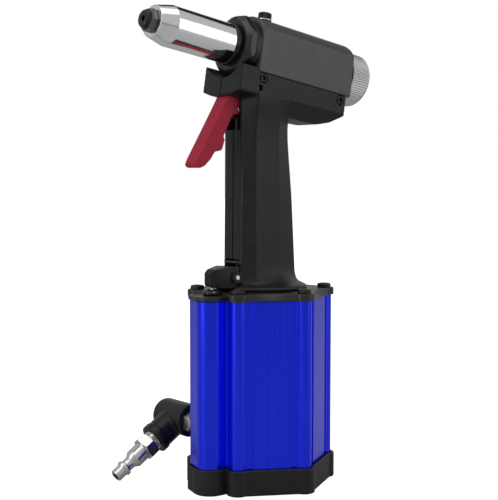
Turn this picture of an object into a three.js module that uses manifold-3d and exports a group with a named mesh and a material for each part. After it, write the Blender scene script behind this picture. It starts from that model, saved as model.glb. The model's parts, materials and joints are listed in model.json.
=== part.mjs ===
// Hydro-pneumatic rivet gun. Millimetres, +Z up, +X towards the nose, +Y the tool's left side.
// The origin is the centre of the base's rest face, on the axis of the air cylinder and handle.
import * as THREE from 'three';
import { mergeVertices } from 'three/addons/utils/BufferGeometryUtils.js';
import Module from 'manifold-3d';

const wasm = await Module();
wasm.setup();

// Driving dimensions
const GAP = 0.3;                 // clearance between pieces that touch on the real tool
const SCREW_CIRCLE = 39.3;       // radius of the tie screws' circle
const PANEL = 37.3;              // axis to a flat of the cylinder's extrusion
const LOBE = 4.5;                // radius of the extrusion's corner lobes
const AIR_BORE = 32.5;           // radius of the air cylinder's bore
const BOOT_TOP = 15.3;
const CAP_TOP = 12;              // top of the bottom cap's plate
const PLATE_BOTTOM = 114;        // flange plate on top of the cylinder
const PLATE_TOP = 118.3;
const BULGE_TOP = 116.8;         // the flange is thinner over the valve chamber
const TUBE_RADIUS = 11.5;        // steel intensifier tube in the handle
const TUBE_TOP = 236.4;
const RAM_RADIUS = 7;
const HEAD_HEIGHT = 260.1;       // where the barrel axis crosses the handle axis
const HEAD_TILT = THREE.MathUtils.degToRad(9.25);
const HEAD_RADIUS = 19.8;        // arched top of the head casting
const HEAD_FLOOR = 14.8;         // barrel axis down to the head casting's flat underside
const HEAD_HALF = 17;            // half-width of the head casting
const HEAD_BOSS = 9.5;           // radius of the casting's boss on top of the tube
const SHELL_HALF = 17.5;         // half-width of the shells under the head
const HEAD_FRONT = 13.5;
const HEAD_REAR = -62;
const PULL_BORE = 12.7;          // radius of the hydraulic cylinder in the head
const TUBE_BORE = 2.6;           // radius of the spent mandrels' path
const TRIGGER_PIVOT = [15.2, 238.2];
const TRIGGER_LINK = [21.4, 226];
const ROD_X = 18.5;
const ROCKER_PIVOT = [25.8, 126.6];
const STOP_PIN = [21.3, 135.1];
const VALVE = [39.5, 2];         // axis of the start valve in the front bulge
const INLET = [28.8, -48.5, 34]; // where the swivel elbow's two axes cross
const PLUG_DROOP = THREE.MathUtils.degToRad(33.2);
const FRONT_SCREW = [10, 18];    // shell screws: along the barrel, and down from its axis
const REAR_SCREW = [-52.7, 18.3];
const SLIVER = 2e-3;             // finest detail kept in a mesh
const ROUND = 24;                // segments of large, medium and small round pieces
const MEDIUM = 16;
const SMALL = 10;

// Materials
const finish = (color, roughness, metalness) => ({ color, roughness, metalness });
const BLUE = finish(0x0a1fb4, 0.28, 0.8);
const RUBBER = finish(0x17181a, 0.6, 0);
const PLASTIC = finish(0x2c2d2e, 0.55, 0);
const DARK_ALLOY = finish(0x4a494b, 0.45, 0.6);
const BLACK_STEEL = finish(0x141416, 0.35, 0.7);
const CHROME = finish(0xd8d8d8, 0.08, 1);
const STEEL = finish(0x9a9a98, 0.3, 1);
const CRIMSON = finish(0x9a1835, 0.42, 0);
const BRASS = finish(0xb08d4a, 0.35, 1);
const SEAL = finish(0x101010, 0.8, 0);

// Vertices nearer to each other than the tolerance become one, and triangles left without area go.
function welded(geometry, tolerance) {
  const merged = mergeVertices(geometry, tolerance);
  const corners = merged.index.array;
  const kept = [];
  for (let i = 0; i < corners.length; i += 3) {
    const [a, b, c] = [corners[i], corners[i + 1], corners[i + 2]];
    if (a !== b && b !== c && c !== a) kept.push(a, b, c);
  }
  merged.setIndex(kept);
  return merged;
}

// A closed solid for joining and cutting, from a three.js geometry.
function solid(geometry) {
  const bare = geometry.clone();
  bare.deleteAttribute('normal');
  bare.deleteAttribute('uv');
  const { attributes, index } = welded(bare, 1e-4);
  const mesh = { numProp: 3, vertProperties: attributes.position.array, triVerts: Uint32Array.from(index.array) };
  return new wasm.Manifold(new wasm.Mesh(mesh));
}

// A body's mesh, without the slivers that joining and cutting leave.
function geometryOf(body) {
  const { vertProperties, triVerts } = body.simplify(SLIVER).getMesh();
  const geometry = new THREE.BufferGeometry();
  geometry.setAttribute('position', new THREE.BufferAttribute(vertProperties, 3));
  geometry.setIndex(new THREE.BufferAttribute(triVerts, 1));
  return welded(geometry, SLIVER);
}

function piece(name, body, look) {
  const geometry = geometryOf(body);
  geometry.computeVertexNormals();
  const mesh = new THREE.Mesh(geometry, new THREE.MeshStandardMaterial(look));
  mesh.name = name;
  return mesh;
}

const joined = (first, ...others) => others.reduce((sum, other) => sum.add(other), first);
const cut = (first, ...others) => others.reduce((rest, other) => rest.subtract(other), first);

// Turned shape about +Z from [radius, height] pairs, counter-clockwise.
// A profile that doesn't start on the axis is closed on itself.
function latheGeometry(profile, segments) {
  const points = profile.map(([radius, height]) => new THREE.Vector2(radius, height));
  if (profile[0][0] > 0) points.push(points[0].clone());
  return new THREE.LatheGeometry(points, segments).rotateX(Math.PI / 2);
}
const turned = (profile, segments = ROUND) => solid(latheGeometry(profile, segments));
const turnedAlongX = (profile, segments = ROUND) => solid(latheGeometry(profile, segments).rotateY(Math.PI / 2));
const turnedAlongY = (profile, segments = ROUND) => solid(latheGeometry(profile, segments).rotateX(-Math.PI / 2));

const rod = (radius, low, high) => [[0, low], [radius, low], [radius, high], [0, high]];
const ring = (inner, outer, low, high) => [[inner, low], [outer, low], [outer, high], [inner, high]];

// Upright cylinder at (x, y), and a pin along Y at (x, z).
function post(x, y, radius, low, high, segments = SMALL) {
  return solid(latheGeometry(rod(radius, low, high), segments).translate(x, y, 0));
}
function crossPin(x, z, radius, low, high, segments = SMALL) {
  return solid(latheGeometry(rod(radius, low, high), segments).rotateX(-Math.PI / 2).translate(x, 0, z));
}
function box(x0, x1, y0, y1, z0, z1) {
  const geometry = new THREE.BoxGeometry(x1 - x0, y1 - y0, z1 - z0);
  return solid(geometry.translate((x0 + x1) / 2, (y0 + y1) / 2, (z0 + z1) / 2));
}
function prismGeometry(outline, low, high) {
  const shape = new THREE.Shape(outline.map(([x, y]) => new THREE.Vector2(x, y)));
  return new THREE.ExtrudeGeometry(shape, { depth: high - low, bevelEnabled: false }).translate(0, 0, low);
}
const prism = (outline, low, high) => solid(prismGeometry(outline, low, high));

// Prism of an [x, z] outline, as wide as twice half along Y.
function sidePrismGeometry(outline, half) {
  return prismGeometry(outline, -half, half).rotateX(Math.PI / 2);
}
const sidePrism = (outline, half) => solid(sidePrismGeometry(outline, half));

// Prism of a [y, z] outline between two places along X.
const endPrism = (outline, low, high) => solid(prismGeometry(outline, low, high).rotateX(Math.PI / 2).rotateZ(Math.PI / 2));

function polygon(sides, radius, phase = 0) {
  const corner = (_, i) => [radius * Math.cos(phase + (2 * Math.PI * i) / sides), radius * Math.sin(phase + (2 * Math.PI * i) / sides)];
  return Array.from({ length: sides }, corner);
}
const hexAlongX = (radius, low, high) => endPrism(polygon(6, radius), low, high);

// The barrel frame: +X along the barrel, +Z square to it, at the height of the barrel axis.
const headMatrix = new THREE.Matrix4().makeRotationY(-HEAD_TILT).setPosition(0, 0, HEAD_HEIGHT);
const headInverse = headMatrix.clone().invert();

// A place along the barrel and down from its axis, as [x, z] in the part's frame.
function headPoint([along, down]) {
  const point = new THREE.Vector3(along, 0, -down).applyMatrix4(headMatrix);
  return [point.x, point.z];
}
const inPartFrame = (geometry) => solid(geometry.applyMatrix4(headMatrix));

// Coil spring about +Z from low to high.
class Coil extends THREE.Curve {
  constructor(radius, low, high, turns) {
    super();
    Object.assign(this, { radius, low, high, turns });
  }
  getPoint(t, target = new THREE.Vector3()) {
    const angle = 2 * Math.PI * this.turns * t;
    return target.set(this.radius * Math.cos(angle), this.radius * Math.sin(angle), this.low + (this.high - this.low) * t);
  }
}
function spring(radius, wire, low, high, turns) {
  const section = new THREE.Shape(polygon(4, wire).map(([x, y]) => new THREE.Vector2(x, y)));
  const path = new Coil(radius, low + wire, high - wire, turns);
  return new THREE.ExtrudeGeometry(section, { steps: turns * 8, extrudePath: path, bevelEnabled: false });
}

// Hexagonal prism with six corner lobes and the valve chamber's bulge in front.
const lobeAngles = [30, 90, 150, 210, 270, 330].map(THREE.MathUtils.degToRad);
const screwPlaces = lobeAngles.map((angle) => [SCREW_CIRCLE * Math.cos(angle), SCREW_CIRCLE * Math.sin(angle)]);

function arc(x, y, radius, from, to, steps) {
  return Array.from({ length: steps + 1 }, (_, i) => {
    const angle = THREE.MathUtils.degToRad(from + ((to - from) * i) / steps);
    return [x + radius * Math.cos(angle), y + radius * Math.sin(angle)];
  });
}
function bulgeOutline(grow) {
  const large = 8.3 + grow;
  const small = 5.3 + grow;
  return [[30, -5 - small], ...arc(44, -5, small, -90, 0, 4), ...arc(43.5, 5, large, -20, 90, 6), [30, 5 + large]];
}
function lobedPrism(low, high, lobe, panel, bulgeGrow, bulgeHigh = high) {
  const core = prism(polygon(6, panel / Math.cos(Math.PI / 6), Math.PI / 6), low, high);
  const lobes = screwPlaces.map(([x, y]) => post(x, y, lobe, low, high, 12));
  return joined(core, ...lobes, prism(bulgeOutline(bulgeGrow), low, bulgeHigh));
}
const screwHoles = (low, high) => screwPlaces.map(([x, y]) => post(x, y, 2.9, low, high, 8));

function baseBoot() {
  const outer = lobedPrism(0, BOOT_TOP, 6.7, 39.5, 1.7);
  return cut(outer, lobedPrism(3, BOOT_TOP + 1, LOBE + 0.35, PANEL + 0.35, 0.35));
}
function bottomCap() {
  const boss = turned([[0, 11], [31.9, 11], [31.9, 12.8], [30.3, 12.8], [30.3, 14.2], [31.9, 14.2], [31.9, 15.1], [0, 15.1]]);
  return cut(joined(lobedPrism(3 + GAP, CAP_TOP, LOBE, PANEL, 0), boss), ...screwHoles(4.8, 14));
}

// Shallow grooves beside the lobes on the five plain flats.
function panelGrooves(low, high) {
  const grooves = [];
  for (const angle of [60, 120, 180, 240, 300]) {
    for (const side of [-1, 1]) {
      const geometry = new THREE.BoxGeometry(2, 3.4, high - low).translate(PANEL + 0.1, side * 13, (low + high) / 2);
      grooves.push(solid(geometry.rotateZ(THREE.MathUtils.degToRad(angle))));
    }
  }
  return grooves;
}
function inletPort() {
  const [x, , z] = INLET;
  return [
    crossPin(x, z, 8.8, -60, -27.4, MEDIUM),
    crossPin(x, z, 6.5, -40, -23.4, MEDIUM),
    crossPin(x - 2.3, z, 2.5, -30, -10),
  ];
}
function airCylinder() {
  const low = CAP_TOP + GAP;
  const high = PLATE_BOTTOM - GAP;
  const outer = lobedPrism(low, high, LOBE, PANEL, 0);
  const valveBore = post(...VALVE, 4.4, 69.5, high + 1);
  const bore = turned(rod(AIR_BORE, low - 1, high + 1));
  return cut(outer, bore, valveBore, ...panelGrooves(low - 1, high + 1), ...screwHoles(low - 1, high + 1), ...inletPort());
}
function topFlange() {
  const plate = lobedPrism(PLATE_BOTTOM, PLATE_TOP, 6, 38.2, 0.9, BULGE_TOP);
  const spigot = turned([[0, 109], [32.1, 109], [32.1, 110.6], [30.3, 110.6], [30.3, 112], [32.1, 112], [32.1, 115], [0, 115]]);
  const centre = turned(rod(TUBE_RADIUS + 0.4, 100, 120));
  const capSeat = [post(...VALVE, 4.4, 110, 120), post(...VALVE, 6, BULGE_TOP, 120, MEDIUM)];
  return cut(joined(plate, spigot), centre, ...capSeat, ...screwHoles(100, 120));
}
function tieScrew([x, y]) {
  const head = [[4.2, PLATE_TOP + GAP], [4.2, 120.2], [3.7, 120.7], [2, 120.7], [2, 119.6], [0, 119.6]];
  const profile = [[0, 5.2], [2.5, 5.2], [2.5, PLATE_TOP + GAP], ...head];
  return solid(latheGeometry(profile, 8).translate(x, y, 0));
}

// Handle outline at one height: an octagon with a slim rear, each side in three parts.
function handleSection(height, front, rear, half) {
  const corners = [
    [front, -8], [front, 8], [16.4, half], [-1.2, half],
    [rear + 3, 9], [rear, 4.5], [rear, -4.5], [rear + 3, -9], [-1.2, -half], [16.4, -half],
  ];
  return corners.flatMap(([x, y], i) => {
    const [nextX, nextY] = corners[(i + 1) % corners.length];
    return [0, 1 / 3, 2 / 3].map((t) => new THREE.Vector3(x + (nextX - x) * t, y + (nextY - y) * t, height));
  });
}
// The same directions on a disc, and a mix of the two for the foot's flare.
function footSection(height, radius, share) {
  const oval = handleSection(height, 22.5, -22.2, 14.5);
  return oval.map((point) => {
    const flat = new THREE.Vector3(point.x, point.y, 0);
    const disc = flat.clone().setLength(radius).setZ(height);
    return disc.lerp(point, 1 - share);
  });
}
// Closed solid through rings with equal numbers of points, lowest first.
function loft(rings) {
  const count = rings[0].length;
  const points = [...rings.flat(), new THREE.Vector3(0, 0, rings[0][0].z), new THREE.Vector3(0, 0, rings.at(-1)[0].z)];
  const faces = [];
  for (let i = 0; i < count; i += 1) {
    const next = (i + 1) % count;
    for (let level = 0; level < rings.length - 1; level += 1) {
      const [a, b] = [level * count + i, level * count + next];
      faces.push(a, b, b + count, a, b + count, a + count);
    }
    const last = (rings.length - 1) * count;
    faces.push(points.length - 2, next, i);
    faces.push(points.length - 1, last + i, last + next);
  }
  const geometry = new THREE.BufferGeometry().setFromPoints(points);
  geometry.setIndex(faces);
  return solid(geometry);
}
function handleGrip() {
  return loft([
    footSection(PLATE_TOP + GAP, 28, 1),
    footSection(120.4, 28, 1),
    footSection(121.6, 25.6, 0.9),
    footSection(124, 24, 0.45),
    footSection(128, 23, 0.15),
    handleSection(133, 22.5, -22.2, 14.5),
    handleSection(172, 22, -19.9, 14.5),
    handleSection(206, 21.7, -16.7, 14.5),
    handleSection(216, 21.7, -16.4, 15),
    handleSection(223, 21.7, -17.6, 15.9),
    handleSection(228, 21.7, -20.2, 17),
    handleSection(232, 21.7, -25, 17.45),
    handleSection(244, 21.7, -32, 17.45),
  ]);
}
// Blocks of the shells under the head casting, in the barrel frame.
function shellBlocks() {
  const guardSide = [[27.3, -8], [27.3, -30.2], [24.5, -31.8], [16, -31.6], [10, -40], [-12, -40], [-12, -8]];
  const guardEnd = [[-SHELL_HALF, -28.3], [-10, -30.6], [0, -31.8], [10, -30.6], [SHELL_HALF, -28.3], [SHELL_HALF, 0], [-SHELL_HALF, 0]];
  const rearSide = [[-8, -8], [-58, -8], [-58, -27.5], [-51.5, -32.5], [-44, -35], [-36, -35.6], [-8, -35.6]];
  const rearEnd = [[-SHELL_HALF, -27], [-9, -35.6], [9, -35.6], [SHELL_HALF, -27], [SHELL_HALF, 0], [-SHELL_HALF, 0]];
  const guard = sidePrism(guardSide, 20).intersect(endPrism(guardEnd, -12, 40));
  const rear = sidePrism(rearSide, 20).intersect(endPrism(rearEnd, -60, 0));
  return inPartFrame(geometryOf(joined(guard, rear)));
}
// Everything above the shells: the head casting, and the collar with its saddle.
function headClearance() {
  const above = new THREE.BoxGeometry(83.8, 60, 40).translate(HEAD_FRONT + GAP - 41.9, 0, 20 - HEAD_FLOOR - GAP);
  const aboveGuard = new THREE.BoxGeometry(40, 60, 40).translate(HEAD_FRONT + GAP + 20, 0, 20 - 13);
  const saddle = latheGeometry(rod(20.5, HEAD_FRONT + GAP - 0.05, 60), ROUND).rotateY(Math.PI / 2);
  return [inPartFrame(above), inPartFrame(aboveGuard), inPartFrame(saddle)];
}
// Slots and holes shared by both shells.
function shellCuts() {
  const [frontX, frontZ] = headPoint(FRONT_SCREW);
  const [rearX, rearZ] = headPoint(REAR_SCREW);
  return [
    turned(rod(TUBE_RADIUS + 0.4, 110, TUBE_TOP + 2 * GAP)),
    turned(rod(HEAD_BOSS + 0.4, 230, 262)),
    box(8, ROD_X + 2, -2.8, 2.8, 121, 232),
    box(8, 30.2, -6.3, 6.3, 214, 239.5),
    box(8, 28.6, -6.3, 6.3, 239.4, 242.4),
    box(13.5, 45, -7.3, 7.3, 112, 133.9),
    box(13.5, 45, -6.4, 6.4, 133.8, 137.2),
    crossPin(...TRIGGER_PIVOT, 1.9, -16.2, 40),
    crossPin(...ROCKER_PIVOT, 1.8, -9.9, 9.9),
    crossPin(...STOP_PIN, 1.5, -8.6, 8.6),
    crossPin(frontX, frontZ, 1.8, -14, 40),
    crossPin(frontX, frontZ, 3.2, 15.2, 40),
    crossPin(rearX, rearZ, 1.8, -14, 40),
    crossPin(rearX, rearZ, 3.2, 15.2, 40),
  ];
}
function rockerEars() {
  const [x, z] = ROCKER_PIVOT;
  const ear = (low, high) => joined(crossPin(x, z, 3.1, low, high), box(15, x, low, high, z - 3.1, z + 3.1));
  return joined(ear(7, 9.3), ear(-9.3, -7));
}
function handleBlank() {
  const outer = joined(handleGrip(), shellBlocks(), rockerEars());
  return cut(outer, ...headClearance(), ...shellCuts());
}
function handleHalf(blank, side) {
  const half = side > 0 ? box(-100, 100, 0.15, 60, 100, 300) : box(-100, 100, -60, -0.15, 100, 300);
  return blank.intersect(half);
}
function shellScrew(place, length) {
  const [x, z] = headPoint(place);
  const profile = [[0, -length], [1.4, -length], [1.4, 15.5], [2.8, 15.5], [2.8, 17.6], [2.4, 18], [1.3, 18], [1.3, 16.8], [0, 16.8]];
  return solid(latheGeometry(profile, SMALL).rotateX(-Math.PI / 2).translate(x, 0, z));
}

// Intensifier tube and ram
const handleTube = () => turned(ring(RAM_RADIUS + 0.4, TUBE_RADIUS, 116, TUBE_TOP), MEDIUM);
const ramGland = () => turned(ring(RAM_RADIUS + GAP, TUBE_RADIUS, 109.2, 115.7), MEDIUM);
const ram = () => turned([[0, 15.8], [4, 15.8], [4, 28.3], [RAM_RADIUS, 28.3], [RAM_RADIUS, 169], [6.2, 170], [0, 170]], MEDIUM);
const ramNut = () => cut(prism(polygon(6, 7.5), 16.1, 19.7), turned(rod(4.3, 10, 25), MEDIUM));
function airPiston() {
  return turned([[4.4, 20], [31.9, 20], [31.9, 23], [30.3, 23], [30.3, 25], [31.9, 25], [31.9, 28], [4.4, 28]]);
}

// Head casting in the barrel frame, with the boss that closes the tube's top.
const ARCH_POINTS = 13;
function headArch(grow) {
  const start = Math.acos(HEAD_HALF / HEAD_RADIUS);
  const arc = Array.from({ length: ARCH_POINTS }, (_, i) => {
    const angle = start + ((Math.PI - 2 * start) * i) / (ARCH_POINTS - 1);
    return [(HEAD_RADIUS + grow) * Math.cos(angle), (HEAD_RADIUS + grow) * Math.sin(angle)];
  });
  return [[-HEAD_HALF - grow, -HEAD_FLOOR], [HEAD_HALF + grow, -HEAD_FLOOR], ...arc];
}
function headBody() {
  const boss = solid(latheGeometry(rod(HEAD_BOSS, TUBE_TOP + GAP, 252), MEDIUM).applyMatrix4(headInverse));
  const oilWay = solid(latheGeometry(rod(4, 230, 253), SMALL).applyMatrix4(headInverse));
  return cut(
    joined(endPrism(headArch(0), HEAD_REAR, HEAD_FRONT), boss),
    turnedAlongX(rod(PULL_BORE, HEAD_REAR - 1, -2), MEDIUM),
    turnedAlongX(rod(11.4, -3, HEAD_FRONT + 1), MEDIUM),
    post(1, 0, 2.9, 15.6, 25),
    oilWay,
  );
}
const frontGland = () => turnedAlongX([[5.3, 0.2], [5.3, 3.6], [11, 3.6], [11, -1.7], [7, -1.7], [7, 0.2]].reverse(), MEDIUM);
const rodSeal = () => turnedAlongX(ring(5.15, 6.8, -1.5, 0), MEDIUM);

// Nose: the chromed frame head with its nosepiece, and the collar that locks it
function frameHead() {
  const profile = [[9.4, 4], [11, 4], [11, 28.5], [11.9, 28.5], [11.9, 70], [9.3, 80.6], [5, 80.6], [5, 70], [9.4, 70]];
  const scoop = (side) => {
    const cutter = latheGeometry(rod(14, -20, 20), ROUND).translate(76.5, 23.6, 0);
    return solid(cutter.rotateX(THREE.MathUtils.degToRad(side * 90 - 90 - 38)));
  };
  return cut(turnedAlongX(profile), scoop(1), scoop(-1));
}
function nosepiece() {
  const tip = [[1.6, 64.3], [2.7, 64.3], [3.4, 72], [4.6, 73], [4.6, 80.9], [5.2, 80.9], [5.2, 86], [4.6, 86.9], [1.6, 86.9]];
  return cut(joined(turnedAlongX(tip, MEDIUM), hexAlongX(7, 80.9, 84.5)), turnedAlongX(rod(1.6, 60, 90), MEDIUM));
}
function collarNut() {
  const flats = endPrism(polygon(8, 18.9, Math.PI / 8), 18.5, 24.7);
  const chamfer = turnedAlongX([[0, 18.5], [18.2, 18.5], [18.9, 19.6], [18.9, 21], [15.2, 24.7], [0, 24.7]]);
  return cut(flats.intersect(chamfer), turnedAlongX(rod(11.4, 10, 30), MEDIUM));
}
const collarRing = () => turnedAlongX([[11.4, 13.8], [17, 13.8], [17, 17.4], [16.4, 18.2], [11.4, 18.2]]);
const headBush = () => turnedAlongX([[11.4, 25], [12.6, 25], [12.6, 27.7], [12.1, 28.2], [11.4, 28.2]]);

// Pulling train: piston and rod, jaw case, pusher and three jaws
function pullPiston() {
  return turnedAlongX([
    [4.1, -12], [12.4, -12], [12.4, -9], [11, -9], [11, -7], [12.4, -7], [12.4, -3], [5, -3], [5, 33],
    [TUBE_BORE, 33], [TUBE_BORE, -5.7], [4.1, -5.7],
  ], MEDIUM);
}
const pullPistonSeal = () => turnedAlongX(ring(11.2, 12.5, -8.8, -7.2), MEDIUM);
const mandrelTube = () => turnedAlongX(ring(TUBE_BORE, 3.8, -58, -6), SMALL);
function jawCase() {
  return turnedAlongX([
    [5.3, 26], [8.9, 26], [8.9, 64.5], [7.6, 66], [4.75, 66], [7.3, 54], [7.3, 33.2], [5.3, 33.2],
  ], MEDIUM);
}
const jawPusher = () => turnedAlongX([[TUBE_BORE, 40], [6.6, 40], [6.6, 46], [4.2, 50.2], [TUBE_BORE, 50.2]], SMALL);
function jaw(index) {
  const cone = turnedAlongX([[1.7, 50.5], [6.5, 50.5], [6.5, 54], [4.5, 63.5], [1.7, 63.5]], ROUND);
  const middle = Math.PI / 2 + (2 * Math.PI * index) / 3;
  const sides = [-1, 1].map((side) => {
    const away = middle + (side * Math.PI) / 3;
    const normal = away + (side * Math.PI) / 2;
    const geometry = new THREE.BoxGeometry(40, 40, 40).translate(57, 0, 20 - 0.9);
    return solid(geometry.rotateX(normal - Math.PI / 2));
  });
  return cut(cone, ...sides);
}
function rearCap() {
  const profile = [[5, -78], [15.2, -78], [16.6, -76.6], [16.6, -62.3], [12.3, -62.3], [12.3, -54], [5, -54]];
  return turnedAlongX(profile);
}
const oilPlug = () => post(1, 0, 2.5, 16.2, 21.2).add(solid(latheGeometry(
  [[0, 21.1], [4.1, 21.1], [4.1, 24.3], [3.6, 24.8], [1.9, 24.8], [1.9, 22.8], [0, 22.8]], SMALL).translate(1, 0, 0)));
const oilPlugWasher = () => solid(latheGeometry(ring(2.9, 4.4, 20.1, 20.8), SMALL).translate(1, 0, 0));

// Trigger, its rod and the valve rocker
function trigger() {
  const blade = [
    [15, 241], [26.5, 241], [28.2, 238.4], [29.2, 234.5], [30.9, 231.2], [38.5, 218.6], [46.2, 206], [51.6, 197.2],
    [53, 194.6], [53.4, 193.2], [52.6, 191.8], [50.5, 191.2], [47, 192.6], [43, 196.2], [39.6, 200.8],
    [34.5, 201.6], [32.2, 208.2], [33.4, 209.4], [32.5, 211.5], [26.4, 222.6], [21.4, 223.2], [18.6, 225.4],
    [12.6, 236.4],
  ].reverse();
  const lever = joined(sidePrism(blade, 5.7), crossPin(...TRIGGER_PIVOT, 3.2, -5.7, 5.7));
  return cut(
    lever,
    box(10, 26.4, -2.5, 2.5, 215, 230.5),
    crossPin(...TRIGGER_PIVOT, 1.7, -10, 10),
    crossPin(...TRIGGER_LINK, 1.8, -10, 10),
  );
}
const triggerPin = () => crossPin(...TRIGGER_PIVOT, 1.4, -15.9, 14.9);
const linkPin = () => crossPin(...TRIGGER_LINK, 1.5, -6, 6);
function triggerRod() {
  const head = box(ROD_X - 3.5, 22.3, -1.9, 1.9, 221, 224.2);
  return joined(post(ROD_X, 0, 1.3, 129, 222), head);
}
function valveRocker() {
  const side = [
    [15.8, 124.4], [21.5, 122.4], [24, 120.8], [28, 120.2], [35, 120.4], [37, 121.4], [40.4, 121.6],
    [41.2, 123], [41.2, 129.6], [38.4, 131.6], [30, 133.2], [21.5, 132.6], [21.5, 128.5], [15.8, 128.5],
  ];
  const plan = [[15, -2.3], [21.5, -2.3], [21.5, -6.9], [29, -6.9], [42, -3], [42, 3], [29, 6.9], [21.5, 6.9], [21.5, 2.3], [15, 2.3]];
  return cut(sidePrism(side, 8).intersect(prism(plan, 110, 140)), crossPin(...ROCKER_PIVOT, 1.8, -10, 10));
}
const rockerPin = () => crossPin(...ROCKER_PIVOT, 1.5, -9.6, 9.6);
const rockerStopPin = () => crossPin(...STOP_PIN, 1.2, -8.3, 8.3);

// Start valve in the front bulge
function atValve(profile, segments = SMALL) {
  return solid(latheGeometry(profile, segments).translate(VALVE[0], VALVE[1], 0));
}
const valveSleeve = () => atValve([[0, 70], [4.1, 70], [4.1, 113.4], [3.1, 113.4], [3.1, 71.5], [0, 71.5]]);
const valveCap = () => atValve([
  [1.9, 113.7], [4.1, 113.7], [4.1, 117.1], [5.5, 117.1], [5.5, 118.4], [4.4, 119.6], [2.4, 120.2], [1.9, 120.2],
]);
const valveStem = () => atValve([
  [0, 86.8], [2.6, 86.8], [2.6, 90], [1.5, 90.4], [1.5, 120.3], [0.8, 121], [0, 121.1],
]);

// Air inlet: nipple in the cylinder's wall, swivel elbow and quick-release plug
function inletNipple() {
  const [x, , z] = INLET;
  const end = (profile, segments) => latheGeometry(profile, segments).rotateX(-Math.PI / 2).translate(x, 0, z);
  const flats = prismGeometry(polygon(6, 8.4, Math.PI / 6), -32.7, -27.7);
  const hex = solid(flats.rotateX(-Math.PI / 2).translate(x, 0, z));
  return joined(solid(end(rod(6.2, -45.5, -23.7), MEDIUM)), hex).subtract(solid(end(rod(3.2, -60, -10), SMALL)));
}
function elbowBody() {
  const barrelProfile = [[0, -13.9], [8.4, -13.9], [9.8, -13.1], [10.3, -11.6], [10.3, 14.6], [9.5, 15.5], [0, 15.5]];
  const barrel = turnedAlongY(barrelProfile, MEDIUM);
  const tilt = (geometry) => geometry.rotateY(PLUG_DROOP);
  const armProfile = [[0, 0], [9.2, 0], [9.2, 16.8], [9.8, 17.6], [9.8, 21.4], [9.2, 22], [0, 22]];
  const arm = solid(tilt(latheGeometry(armProfile, MEDIUM).rotateY(Math.PI / 2)));
  const mouth = solid(tilt(latheGeometry([[0, 0], [3.2, 0], [3.2, 8], [6.9, 8], [6.9, 30], [0, 30]], MEDIUM).rotateY(Math.PI / 2)));
  return cut(joined(barrel, arm), mouth, turnedAlongY(rod(6.6, 2, 20), MEDIUM), turnedAlongY(rod(3.2, -2, 3), SMALL));
}
function airPlug() {
  const profile = [
    [0, 9], [6.5, 9], [6.5, 24.6], [5.9, 25], [5.9, 40], [4.2, 42.2], [3.9, 46.6], [5, 47.4], [5, 48.8], [3.95, 49.8],
    [3.95, 55], [3.5, 55.5], [0, 55.5],
  ];
  return cut(joined(turnedAlongX(profile, MEDIUM), hexAlongX(8.25, 25, 31.5)), turnedAlongX(rod(2.4, 0, 60), SMALL));
}

// Assembly
const tool = new THREE.Group();
const head = new THREE.Group();
head.position.set(0, 0, HEAD_HEIGHT);
head.rotation.y = -HEAD_TILT;
const elbow = new THREE.Group();
elbow.position.set(...INLET);
const plug = new THREE.Group();
plug.rotation.y = PLUG_DROOP;
elbow.add(plug);
tool.add(head, elbow);

const blank = handleBlank();
tool.add(
  piece('base_boot', baseBoot(), RUBBER),
  piece('bottom_cap', bottomCap(), DARK_ALLOY),
  piece('bottom_cap_seal', turned(ring(30.5, 32.1, 12.95, 14.05)), SEAL),
  piece('air_cylinder', airCylinder(), BLUE),
  piece('top_flange', topFlange(), BLACK_STEEL),
  piece('flange_seal', turned(ring(30.5, 32.2, 110.8, 111.8)), SEAL),
  ...screwPlaces.map((place, i) => piece(`tie_screw_${i + 1}`, tieScrew(place), BLACK_STEEL)),
  piece('handle_left', handleHalf(blank, 1), PLASTIC),
  piece('handle_right', handleHalf(blank, -1), PLASTIC),
  piece('shell_screw_front', shellScrew(FRONT_SCREW, 13.5), BLACK_STEEL),
  piece('shell_screw_rear', shellScrew(REAR_SCREW, 13.5), BLACK_STEEL),
  piece('handle_tube', handleTube(), STEEL),
  piece('ram_gland', ramGland(), BRASS),
  piece('ram', ram(), CHROME),
  piece('ram_nut', ramNut(), STEEL),
  piece('air_piston', airPiston(), DARK_ALLOY),
  piece('air_piston_seal', turned(ring(30.5, 32.15, 23.2, 24.8)), SEAL),
  piece('trigger', trigger(), CRIMSON),
  piece('trigger_pin', triggerPin(), STEEL),
  piece('trigger_link_pin', linkPin(), STEEL),
  piece('trigger_rod', triggerRod(), STEEL),
  piece('valve_rocker', valveRocker(), PLASTIC),
  piece('rocker_pin', rockerPin(), STEEL),
  piece('rocker_stop_pin', rockerStopPin(), STEEL),
  piece('valve_sleeve', valveSleeve(), BRASS),
  piece('valve_cap', valveCap(), BLACK_STEEL),
  piece('valve_stem', valveStem(), STEEL),
  piece('valve_spring', solid(spring(2.1, 0.5, 71.8, 86.5, 5).translate(VALVE[0], VALVE[1], 0)), STEEL),
  piece('inlet_nipple', inletNipple(), STEEL),
);
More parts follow.
